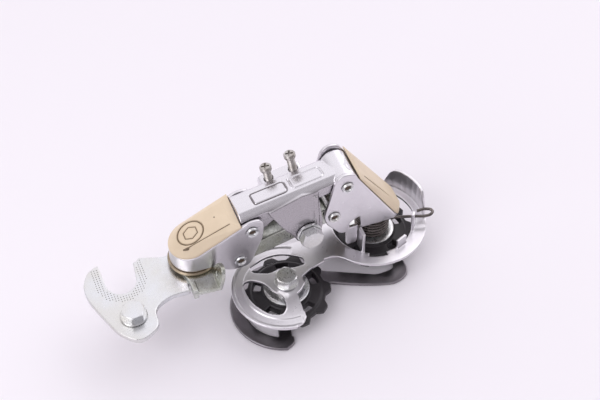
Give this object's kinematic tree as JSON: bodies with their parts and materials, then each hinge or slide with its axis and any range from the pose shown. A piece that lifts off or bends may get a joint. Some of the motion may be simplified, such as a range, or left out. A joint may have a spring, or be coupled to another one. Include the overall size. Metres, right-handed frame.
{
  "type": "rear bicycle derailleur",
  "caption": "Parallelogram rear derailleur on a claw hanger, with two moulded caps, a sprung two-plate chain cage and toothed pulleys.",
  "frame": {"origin": "middle of the footprint, on the plane of the inner cage plate, which the part lies on", "axes": "+X from the hanger towards the cage pivot, +Y along the parallelogram pins, +Z along the wheel axle away from the wheel"},
  "size_m": [0.1772, 0.0756, 0.0698],
  "materials": {
    "zinc_steel": "bright zinc plate",
    "cast_aluminium": "polished casting",
    "stamped_steel": "nickel-bright satin",
    "dark_plate": "dark satin plate",
    "green_zinc": "aged zinc plate",
    "tan_plastic": "satin moulded",
    "bronze": "satin",
    "black_plastic": "satin moulded",
    "spring_steel": "drawn wire"
  },
  "bodies": {
    "hanger": {"hanger_plate": "zinc_steel", "hanger_clamp_bolt": "zinc_steel", "hanger_clamp_nut": "bronze", "hanger_pivot_bolt": "zinc_steel", "hanger_pivot_nut": "zinc_steel", "pivot_bushing": "bronze"},
    "upper_knuckle": {"upper_knuckle": "stamped_steel", "upper_cap": "tan_plastic", "cable_stop_bracket": "green_zinc", "upper_outer_pin": "zinc_steel", "upper_inner_pin": "zinc_steel"},
    "outer_link": {"outer_link": "cast_aluminium", "cable_clamp_washer": "zinc_steel", "cable_clamp_bolt": "zinc_steel"},
    "limit_screw_high": {"limit_screw_high": "spring_steel"},
    "limit_screw_low": {"limit_screw_low": "spring_steel"},
    "inner_link": {"inner_link": "green_zinc", "return_spring": "spring_steel"},
    "lower_knuckle": {"lower_knuckle": "stamped_steel", "lower_cap": "tan_plastic", "cage_pivot_bushing": "bronze", "lower_outer_pin": "zinc_steel", "lower_inner_pin": "zinc_steel"},
    "cage": {"outer_cage_plate": "stamped_steel", "inner_cage_plate": "dark_plate", "cage_pivot_shaft": "zinc_steel", "cage_pivot_circlip": "spring_steel", "cage_spacer": "zinc_steel", "guide_sleeve": "zinc_steel", "guide_dust_cap_outer": "zinc_steel", "guide_dust_cap_inner": "zinc_steel", "tension_sleeve": "zinc_steel", "tension_dust_cap_outer": "zinc_steel", "tension_dust_cap_inner": "zinc_steel", "tension_pulley_bolt": "zinc_steel", "cage_spring": "spring_steel"},
    "guide_pulley": {"guide_pulley": "black_plastic"},
    "tension_pulley": {"tension_pulley": "black_plastic"}
  },
  "joints": [
    {"name": "hanger_swing", "type": "hinge", "parent": "hanger", "child": "upper_knuckle", "pos_m": [-0.03507, 0.01052, 0.03], "axis": [0, 0, 1], "range_deg": [0, 35]},
    {"name": "shift", "type": "hinge", "parent": "upper_knuckle", "child": "outer_link", "pos_m": [-0.00817, 0.01052, 0.0496], "axis": [0, 1, 0], "range_deg": [0, 30], "stiffness_Nm_per_rad": 0.5, "springref_deg": -45.84},
    {"name": "inner_link_swing", "type": "hinge", "parent": "upper_knuckle", "child": "inner_link", "pos_m": [-0.01447, 0.01052, 0.031], "axis": [0, 1, 0], "range_deg": [0, 30]},
    {"name": "lower_knuckle_level", "type": "hinge", "parent": "outer_link", "child": "lower_knuckle", "pos_m": [0.03953, 0.01052, 0.0615], "axis": [0, 1, 0], "range_deg": [-30, 0]},
    {"name": "cage_swing", "type": "hinge", "parent": "lower_knuckle", "child": "cage", "pos_m": [0.05843, 0.01052, 0.02], "axis": [0, 0, 1], "range_deg": [0, 100], "stiffness_Nm_per_rad": 0.25, "springref_deg": -91.67},
    {"name": "guide_pulley_spin", "type": "hinge", "parent": "cage", "child": "guide_pulley", "pos_m": [0.05843, 0.01052, 0.00825], "axis": [0, 0, 1], "continuous": true},
    {"name": "tension_pulley_spin", "type": "hinge", "parent": "cage", "child": "tension_pulley", "pos_m": [0.00503, -0.00988, 0.00825], "axis": [0, 0, 1], "continuous": true},
    {"name": "limit_screw_high_turn", "type": "hinge", "parent": "outer_link", "child": "limit_screw_high", "pos_m": [0.01953, 0.02292, 0.0666], "axis": [-0.1601, 0.05, 0.9858], "range_deg": [-360, 360]},
    {"name": "limit_screw_low_turn", "type": "hinge", "parent": "outer_link", "child": "limit_screw_low", "pos_m": [0.00743, 0.02292, 0.0624], "axis": [-0.1601, 0.05, 0.9858], "range_deg": [-360, 360]}
  ],
  "couplings": [
    {"joint": "inner_link_swing", "follows": "shift", "ratio": 1},
    {"joint": "lower_knuckle_level", "follows": "shift", "ratio": -1}
  ]
}
